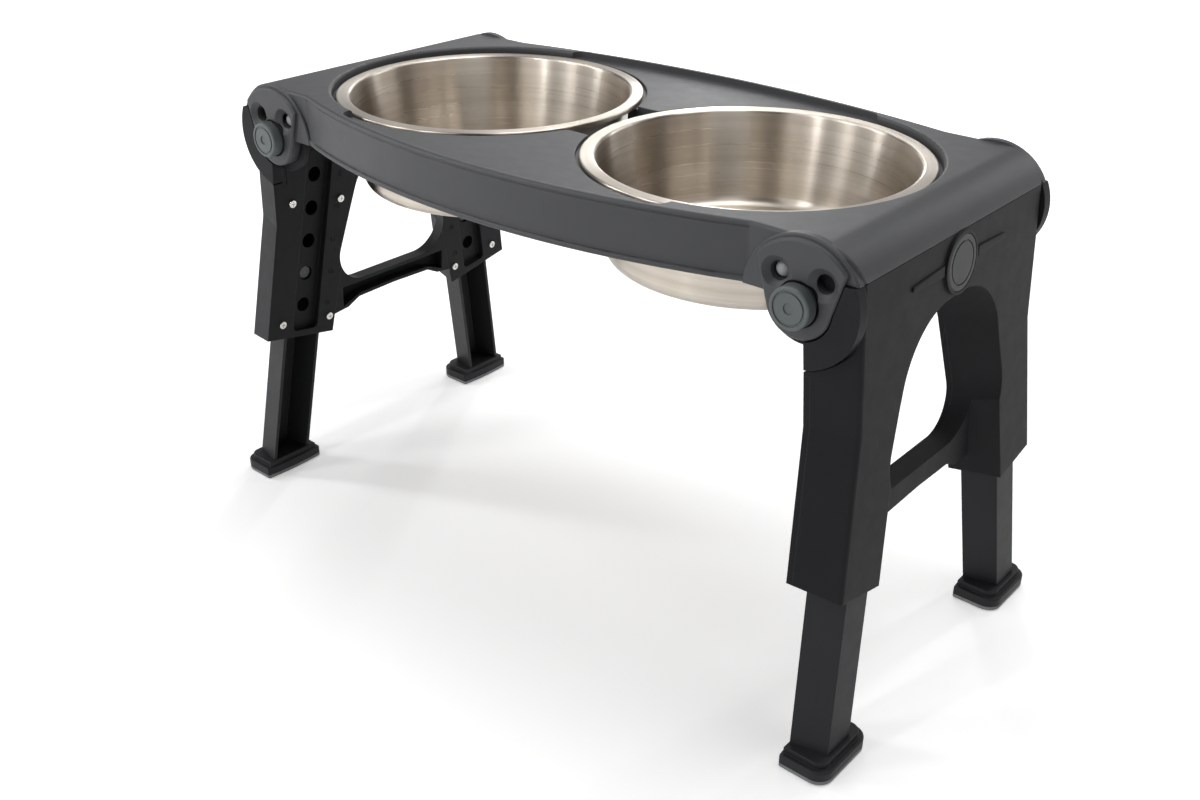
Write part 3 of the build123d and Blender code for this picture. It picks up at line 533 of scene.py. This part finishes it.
@dataclass(frozen=True)
class MouldedRubber:
    """Grey thermoplastic rubber of the foot pads: matt, finely pitted and a little dusty."""

    name: str = "moulded_rubber_grey"
    colour: str = "#8a8c8d"
    shade: str = "#7a7c7d"
    dust_mm: float = 5.0
    roughness: tuple[float, float] = (0.7, 0.86)
    # The pits are about 0.3 mm. They are drawn coarser, so that they show.
    pit_mm: float = 1.0
    pit_depth_mm: float = 0.05
    ior: float = 1.52

    def build(self) -> bpy.types.Material:
        """Make the material.

        Returns:
            The finished material.
        """
        material, shader, place = start_material(self.name)
        out = material.node_tree.links.new
        dust = add_node(
            material,
            "ShaderNodeTexNoise",
            {"Scale": per_metre(self.dust_mm), "Detail": 5.0},
            {"Vector": place},
        )
        tone = add_node(
            material,
            "ShaderNodeMix",
            {"data_type": "RGBA", 6: linear(self.colour), 7: linear(self.shade)},
            {"Factor": dust.outputs["Fac"]},
        )
        out(tone.outputs[2], shader.inputs["Base Color"])
        smooth, rough = self.roughness
        gloss = add_node(
            material,
            "ShaderNodeMapRange",
            {"From Min": NOISE_LOW, "From Max": NOISE_HIGH, "To Min": smooth, "To Max": rough},
            {"Value": dust.outputs["Fac"]},
        )
        out(gloss.outputs["Result"], shader.inputs["Roughness"])
        pits = add_node(
            material,
            "ShaderNodeTexNoise",
            {"Scale": per_metre(self.pit_mm), "Detail": 2.0},
            {"Vector": place},
        )
        relief = add_node(
            material,
            "ShaderNodeBump",
            {"Distance": self.pit_depth_mm * MM},
            {"Height": pits.outputs["Fac"]},
        )
        out(relief.outputs["Normal"], shader.inputs["Normal"])
        shader.inputs["IOR"].default_value = self.ior
        return material


def dress(node: str, material: bpy.types.Material) -> None:
    """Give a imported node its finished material.

    Args:
        node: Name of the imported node.
        material: Material that replaces the plain one.
    """
    mesh = frame["nodes"][node].data
    mesh.materials.clear()
    mesh.materials.append(material)
    log.info("%s: dressed in %s", node, material.name)


def settle(
    piece: bpy.types.Object, name: str, material: bpy.types.Material, body: str
) -> None:
    """Name, dress and mount a finished piece whose place is in its mesh.

    Args:
        piece: The finished mesh object.
        name: Name of the piece.
        material: Its material.
        body: Body that carries it.
    """
    piece.name = name
    piece.data.name = name
    piece.data.materials.clear()
    piece.data.materials.append(material)
    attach(piece, body)
    log.info("%s: %d faces on %s", name, len(piece.data.polygons), body)


@dataclass
class Finishes:
    """All materials of the feeder, built once."""

    deck: bpy.types.Material = field(init=False)
    frame: bpy.types.Material = field(init=False)
    leg: bpy.types.Material = field(init=False)
    button: bpy.types.Material = field(init=False)
    peg: bpy.types.Material = field(init=False)
    pad: bpy.types.Material = field(init=False)
    badge: bpy.types.Material = field(init=False)
    screw: bpy.types.Material = field(init=False)
    spring: bpy.types.Material = field(init=False)

    def __post_init__(self) -> None:
        """Build each material."""
        # The third colour of each MouldedPolypropylene below is its painted edge highlight, a
        # paler tone on rounded edges.
        self.deck = MouldedPolypropylene(
            "moulded_polypropylene_deck", "#454648", "#434446", "#5c5d5f", specular=0.4
        ).build()
        self.frame = MouldedPolypropylene(
            "moulded_polypropylene_frame",
            "#1d1e20",
            "#1b1c1e",
            "#38393b",
            roughness=0.56,
            specular=0.16,
        ).build()
        self.leg = MouldedPolypropylene(
            "moulded_polypropylene_leg", "#252628", "#232426", "#3a3b3d", specular=0.22
        ).build()
        self.button = SatinAcetal().build()
        self.peg = MouldedPolypropylene(
            "moulded_acetal_peg",
            "#54585a",
            "#4c5052",
            "#6c7072",
            roughness=0.42,
            grain_depth_mm=0.02,
        ).build()
        self.pad = MouldedRubber().build()
        self.badge = MouldedPolypropylene(
            "moulded_abs_badge",
            "#212527",
            "#1e2224",
            "#424547",
            roughness=0.45,
            grain_depth_mm=0.02,
        ).build()
        self.screw = DrawnSteel("plated_steel_screw", "#dddbd7", "#c9c7c3", 0.2).build()
        self.spring = DrawnSteel("drawn_steel_spring", "#a9a7a3", "#8f8d89", 0.34).build()


@dataclass
class Tray:
    """The tray and its two bowls."""

    finishes: Finishes
    bowl_x: float = 0.1105

    def build(self) -> None:
        """Dress the tray and the bowls."""
        dress("tray", self.finishes.deck)
        for side in Side:
            steel = SpunStainlessSteel(
                f"spun_stainless_{side.word}_bowl", side.sign * self.bowl_x
            )
            dress(f"{side.word}_bowl", steel.build())
        log.info("tray and bowls dressed")


@dataclass
class EndRibs:
    """Two plain tapered ribs moulded on the end face, one on each side of the badge."""

    side: Side
    finishes: Finishes
    face_x: float = 0.24581
    middle_z: float = 0.2738
    # The end face leans inward by this much for each unit of height.
    lean: float = 0.0722
    start_y: float = 0.0195
    length: float = 0.034
    height: float = 0.0062
    # Height of the far end as a share of the near one.
    tip_share: float = 0.45
    proud: float = 0.0011
    sunk: float = 0.0006
    edge: float = 0.0006
    # The rounded edge takes this share of what stands proud.
    round_share: float = 0.6
    smooth_angle: float = 35.0

    def rib(self, row: Row) -> bpy.types.Object:
        """Model one rib in place.

        Args:
            row: Whether the rib lies to the front or the rear of the badge.

        Returns:
            The rib.
        """
        thick = self.proud + self.sunk
        bpy.ops.mesh.primitive_cube_add(size=1.0, scale=(thick, self.length, self.height))
        piece = bpy.context.active_object
        bpy.ops.object.transform_apply(scale=True)
        bpy.ops.object.mode_set(mode="EDIT")
        bpy.ops.mesh.select_all(action="DESELECT")
        bpy.ops.object.mode_set(mode="OBJECT")
        for face in piece.data.polygons:
            face.select = face.normal.y > FACING
        bpy.ops.object.mode_set(mode="EDIT")
        bpy.ops.transform.resize(value=(1.0, 1.0, self.tip_share))
        bpy.ops.mesh.select_all(action="DESELECT")
        bpy.ops.object.mode_set(mode="OBJECT")
        for face in piece.data.polygons:
            face.select = face.normal.x > FACING
        bpy.ops.object.mode_set(mode="EDIT")
        bpy.ops.mesh.inset(thickness=self.edge, depth=0.0)
        bpy.ops.object.mode_set(mode="OBJECT")
        bevel = piece.modifiers.new("rounded_edge", "BEVEL")
        bevel.width = self.proud * self.round_share
        bevel.segments = 3
        bevel.limit_method = "ANGLE"
        bpy.ops.object.modifier_apply(modifier=bevel.name)
        away = (self.proud - thick / 2, self.start_y + self.length / 2, 0.0)
        place = (
            Matrix.Diagonal((self.side.sign, row.sign, 1.0, 1.0))
            @ Matrix.Translation((self.face_x, 0.0, self.middle_z))
            @ Matrix.Rotation(-math.atan(self.lean), 4, "Y")
            @ Matrix.Translation(away)
        )
        piece.data.transform(place)
        if self.side.sign * row.sign < 0:
            piece.data.flip_normals()
        bpy.ops.object.shade_smooth_by_angle(angle=math.radians(self.smooth_angle))
        return piece

    def build(self) -> None:
        """Add the two ribs of this end."""
        for row in Row:
            bpy.ops.object.select_all(action="DESELECT")
            piece = self.rib(row)
            name = f"{row.word}_{self.side.word}_end_rib"
            settle(piece, name, self.finishes.frame, f"{self.side.word}_frame")


@dataclass
class HoleNumbers:
    """Raised numbers beside the adjusting holes of one leg cover: the rim height in inches."""

    side: Side
    row: Row
    finishes: Finishes
    origin: tuple[float, float, float] = (0.2254, 0.0823, 0.1614)
    # Angles of the leg in degrees: inward toward the middle and outward to front or rear.
    lean: float = 4.5
    splay: float = 9.5
    pitch: float = 0.0254
    rest_hole: int = 4
    numbers: tuple[int, ...] = (9, 10, 11, 12, 13)
    aside: float = 0.0195
    size: float = 0.0056
    proud: float = 0.0003

    def axes(self) -> Matrix:
        """Axes of the cover's face: across, up the leg and out of the face.

        Returns:
            A matrix that takes the flat text to the face.
        """
        lean = math.tan(math.radians(self.lean))
        splay = math.tan(math.radians(self.splay))
        up = Vector((-lean, -splay, 1.0)).normalized()
        outward = Vector((1.0, 0.0, lean)).normalized()
        flip = Matrix.Diagonal((self.side.sign, self.row.sign, 1.0))
        up, normal = flip @ up, flip @ -outward
        across = up.cross(normal)
        turn = Matrix((across, up, normal)).transposed().to_4x4()
        return Matrix.Translation(flip @ Vector(self.origin)) @ turn

    def build(self) -> None:
        """Model the numbers flat, lay them on the cover and join them."""
        bpy.ops.object.select_all(action="DESELECT")
        axes = self.axes()
        across = axes.to_3x3() @ Vector((1.0, 0.0, 0.0))
        toward_middle = self.aside if across.y * self.row.sign < 0 else -self.aside
        made = []
        for step, number in enumerate(self.numbers, start=1):
            bpy.ops.object.text_add()
            label = bpy.context.active_object
            label.data.body = str(number)
            label.data.size = self.size
            label.data.extrude = self.proud
            label.data.align_x = "CENTER"
            label.data.align_y = "CENTER"
            label.data.resolution_u = 3
            bpy.ops.object.convert(target="MESH")
            height = (self.rest_hole - step) * self.pitch
            label.data.transform(axes @ Matrix.Translation((toward_middle, height, 0.0)))
            made.append(label)
        for label in made:
            label.select_set(True)
        bpy.context.view_layer.objects.active = made[0]
        bpy.ops.object.join()
        name = f"{self.row.word}_{self.side.word}_hole_numbers"
        settle(made[0], name, self.finishes.frame, f"{self.side.word}_frame")


@dataclass
class LegFrame:
    """One end of the stand with its covers, screws and badge."""

    side: Side
    finishes: Finishes

    def build(self) -> None:
        """Dress the frame and what is fixed to it."""
        word = self.side.word
        dress(f"{word}_leg_frame", self.finishes.frame)
        dress(f"{word}_end_badge", self.finishes.badge)
        EndRibs(self.side, self.finishes).build()
        for row in Row:
            corner = f"{row.word}_{word}"
            dress(f"{corner}_leg_cover", self.finishes.frame)
            dress(f"{corner}_cover_screws", self.finishes.screw)
            dress(f"{corner}_hinge_button", self.finishes.button)
            dress(f"{corner}_hinge_spring", self.finishes.spring)
            HoleNumbers(self.side, row, self.finishes).build()
        log.info("%s leg frame dressed", word)


@dataclass
class Leg:
    """One telescoping leg with its button and foot."""

    side: Side
    row: Row
    finishes: Finishes

    def build(self) -> None:
        """Dress the leg and its foot."""
        corner = f"{self.row.word}_{self.side.word}"
        dress(f"{corner}_inner_leg", self.finishes.leg)
        dress(f"{corner}_foot_cap", self.finishes.leg)
        dress(f"{corner}_foot_pad", self.finishes.pad)
        dress(f"{corner}_height_button", self.finishes.peg)
        dress(f"{corner}_height_spring", self.finishes.spring)
        log.info("%s leg dressed", corner)


@dataclass(frozen=True)
class Camera:
    """Camera at the photograph's place, with its angles in degrees and its lens in millimetres."""

    place: tuple[float, float, float] = (0.52327, -0.62479, 0.53769)
    azimuth: float = 40.4856
    elevation: float = 28.1486
    roll: float = 0.3461
    lens: float = 38.938
    sensor: float = 36.0
    clip: tuple[float, float] = (0.01, 50.0)

    def build(self) -> None:
        """Add the camera and make it the scene's own."""
        turn, drop, roll = (math.radians(v) for v in (self.azimuth, self.elevation, self.roll))
        level = Vector((math.cos(turn), math.sin(turn), 0.0))
        ahead = Vector(
            (-math.sin(turn) * math.cos(drop), math.cos(turn) * math.cos(drop), -math.sin(drop))
        )
        above = level.cross(ahead)
        right = level * math.cos(roll) + above * math.sin(roll)
        up = above * math.cos(roll) - level * math.sin(roll)
        data = bpy.data.cameras.new("camera")
        data.lens = self.lens
        data.sensor_width = self.sensor
        data.clip_start, data.clip_end = self.clip
        camera = bpy.data.objects.new("camera", data)
        facing = Matrix((right, up, -ahead)).transposed().to_4x4()
        camera.matrix_world = Matrix.Translation(self.place) @ facing
        bpy.context.scene.collection.objects.link(camera)
        bpy.context.scene.camera = camera
        log.info("camera set")


@dataclass(frozen=True)
class Lamp:
    """One soft studio light aimed at a point."""

    name: str
    place: tuple[float, float, float]
    size: tuple[float, float]
    power: float
    aim: tuple[float, float, float] = (0.0, 0.0, 0.2)

    def build(self) -> None:
        """Add the light."""
        data = bpy.data.lights.new(self.name, "AREA")
        data.shape = "RECTANGLE"
        data.size, data.size_y = self.size
        data.energy = self.power
        lamp = bpy.data.objects.new(self.name, data)
        lamp.location = self.place
        toward = Vector(self.aim) - Vector(self.place)
        lamp.rotation_euler = toward.to_track_quat("-Z", "Y").to_euler()
        bpy.context.scene.collection.objects.link(lamp)


@dataclass(frozen=True)
class Flag:
    """Dark studio card that only reflections show, as dark streaks in the bowls."""

    name: str
    place: tuple[float, float, float]
    size: tuple[float, float]
    aim: tuple[float, float, float] = (0.0, 0.0, 0.25)

    def build(self, material: bpy.types.Material) -> None:
        """Add the card.

        Args:
            material: Dark finish of the card.
        """
        bpy.ops.object.select_all(action="DESELECT")
        bpy.ops.mesh.primitive_plane_add(size=1.0)
        card = bpy.context.active_object
        card.name = self.name
        toward = Vector(self.aim) - Vector(self.place)
        turn = toward.to_track_quat("Z", "Y").to_matrix().to_4x4()
        grow = Matrix.Diagonal((*self.size, 1.0, 1.0))
        card.data.transform(Matrix.Translation(self.place) @ turn @ grow)
        card.data.materials.append(material)
        card.visible_camera = False
        card.visible_diffuse = False
        card.visible_transmission = False
        card.visible_shadow = False


@dataclass(frozen=True)
class Studio:
    """White floor, white surroundings, soft lights and dark cards between the lights."""

    # Strength of the diffuse light from all round.
    fill: float = 0.2
    # Glow of the floor under the feeder, where it keeps the soft shadows.
    lift: float = 0.3
    # Glow that is added from lift_start to lift_end, where the lamps reach less and less.
    lift_far: float = 0.5
    lift_start: float = 0.6
    lift_end: float = 1.5
    floor_size: float = 12.0
    # The floor lies a hair under the pads.
    floor_z: float = -0.0002
    floor_cloud_mm: float = 909.0
    # Felt nap is about 1 mm. It is drawn coarser, so that it shows.
    nap_mm: float = 16.7
    lamps: tuple[Lamp, ...] = (
        Lamp("overhead", (0.2, 0.4, 1.9), (1.4, 0.9), 17.5),
        Lamp("key", (-0.95, -1.35, 1.15), (0.3, 1.3), 6.0),
        Lamp("front_strip", (-0.22, -1.5, 1.05), (0.06, 1.5), 4.6),
        Lamp("left_strip", (-1.3, -0.62, 1.05), (0.08, 1.5), 6.5),
        Lamp("rear_strip", (0.45, 1.45, 1.1), (0.06, 1.5), 3.6),
        Lamp("rear_left_strip", (-0.85, 1.3, 1.1), (0.06, 1.5), 4.2),
    )
    flags: tuple[Flag, ...] = (
        Flag("end_flag", (1.45, 0.4, 1.55), (2.6, 2.8)),
        Flag("front_flag", (0.75, -1.35, 1.55), (1.0, 2.8)),
        Flag("left_flag", (-1.55, 0.1, 1.7), (0.9, 2.8)),
        Flag("rear_flag", (-1.35, 0.65, 1.7), (0.5, 2.8)),
        Flag("back_flag", (-0.15, 1.6, 1.7), (0.9, 2.8)),
    )

    def seen_directly(self, owner: bpy.types.Material | bpy.types.World) -> Socket:
        """Value of one where the camera, gloss or glass sees the stage, else zero.

        Args:
            owner: Material or world that asks.

        Returns:
            The socket with that value.
        """
        path = add_node(owner, "ShaderNodeLightPath")
        glossy = add_node(
            owner,
            "ShaderNodeMath",
            {"operation": "MAXIMUM"},
            {0: path.outputs["Is Camera Ray"], 1: path.outputs["Is Glossy Ray"]},
        )
        either = add_node(
            owner,
            "ShaderNodeMath",
            {"operation": "MAXIMUM"},
            {0: glossy.outputs["Value"], 1: path.outputs["Is Transmission Ray"]},
        )
        return either.outputs["Value"]

    def floor(self) -> None:
        """Add a white floor that keeps the soft shadows."""
        bpy.ops.object.select_all(action="DESELECT")
        bpy.ops.mesh.primitive_plane_add(size=self.floor_size, location=(0, 0, self.floor_z))
        floor = bpy.context.active_object
        floor.name = "floor"
        material, shader, place = start_material("painted_white_floor")
        out = material.node_tree.links.new
        cloud = add_node(
            material,
            "ShaderNodeTexNoise",
            {"Scale": per_metre(self.floor_cloud_mm), "Detail": 2.0},
            {"Vector": place},
        )
        tone = add_node(
            material,
            "ShaderNodeMix",
            {"data_type": "RGBA", 6: linear("#ffffff"), 7: linear("#fdfdfd")},
            {"Factor": cloud.outputs["Fac"]},
        )
        out(tone.outputs[2], shader.inputs["Base Color"])
        away = add_node(material, "ShaderNodeVectorMath", {"operation": "LENGTH"}, {0: place})
        level = add_node(
            material,
            "ShaderNodeMapRange",
            {
                "From Min": self.lift_start,
                "From Max": self.lift_end,
                "To Min": self.lift,
                "To Max": self.lift + self.lift_far,
            },
            {"Value": away.outputs["Value"]},
        )
        lift = add_node(
            material,
            "ShaderNodeMath",
            {"operation": "MULTIPLY"},
            {0: self.seen_directly(material), 1: level.outputs["Result"]},
        )
        out(lift.outputs["Value"], shader.inputs["Emission Strength"])
        shader.inputs["Emission Color"].default_value = linear("#ffffff")
        shader.inputs["Roughness"].default_value = 0.9
        floor.data.materials.append(material)

    def world(self) -> None:
        """Fill light from all round, white where the camera, gloss or glass sees it."""
        world = bpy.data.worlds.new("studio")
        bpy.context.scene.world = world
        world.use_nodes = True
        back = world.node_tree.nodes["Background"]
        back.inputs["Color"].default_value = linear("#ffffff")
        strength = add_node(
            world,
            "ShaderNodeMath",
            {"operation": "MAXIMUM", 1: self.fill},
            {0: self.seen_directly(world)},
        )
        world.node_tree.links.new(strength.outputs["Value"], back.inputs["Strength"])

    def card(self) -> bpy.types.Material:
        """Make the dark brown felt of the cards.

        Returns:
            The finished material.
        """
        material, shader, place = start_material("brown_felt_card")
        nap = add_node(
            material,
            "ShaderNodeTexNoise",
            {"Scale": per_metre(self.nap_mm), "Detail": 3.0},
            {"Vector": place},
        )
        tone = add_node(
            material,
            "ShaderNodeMix",
            {"data_type": "RGBA", 6: linear("#3a322a"), 7: linear("#2e2721")},
            {"Factor": nap.outputs["Fac"]},
        )
        material.node_tree.links.new(tone.outputs[2], shader.inputs["Base Color"])
        shader.inputs["Roughness"].default_value = 0.95
        return material

    def build(self) -> None:
        """Set the whole stage."""
        self.floor()
        self.world()
        felt = self.card()
        for flag in self.flags:
            flag.build(felt)
        for lamp in self.lamps:
            lamp.build()
        bpy.context.scene.view_settings.view_transform = "Standard"
        log.info("studio set")


def main() -> None:
    """Build the scene in order."""
    finishes = Finishes()
    Tray(finishes).build()
    for side in Side:
        LegFrame(side, finishes).build()
        for row in Row:
            Leg(side, row, finishes).build()
    Camera().build()
    Studio().build()
    log.info("scene built")


if __name__ == "__main__":
    main()
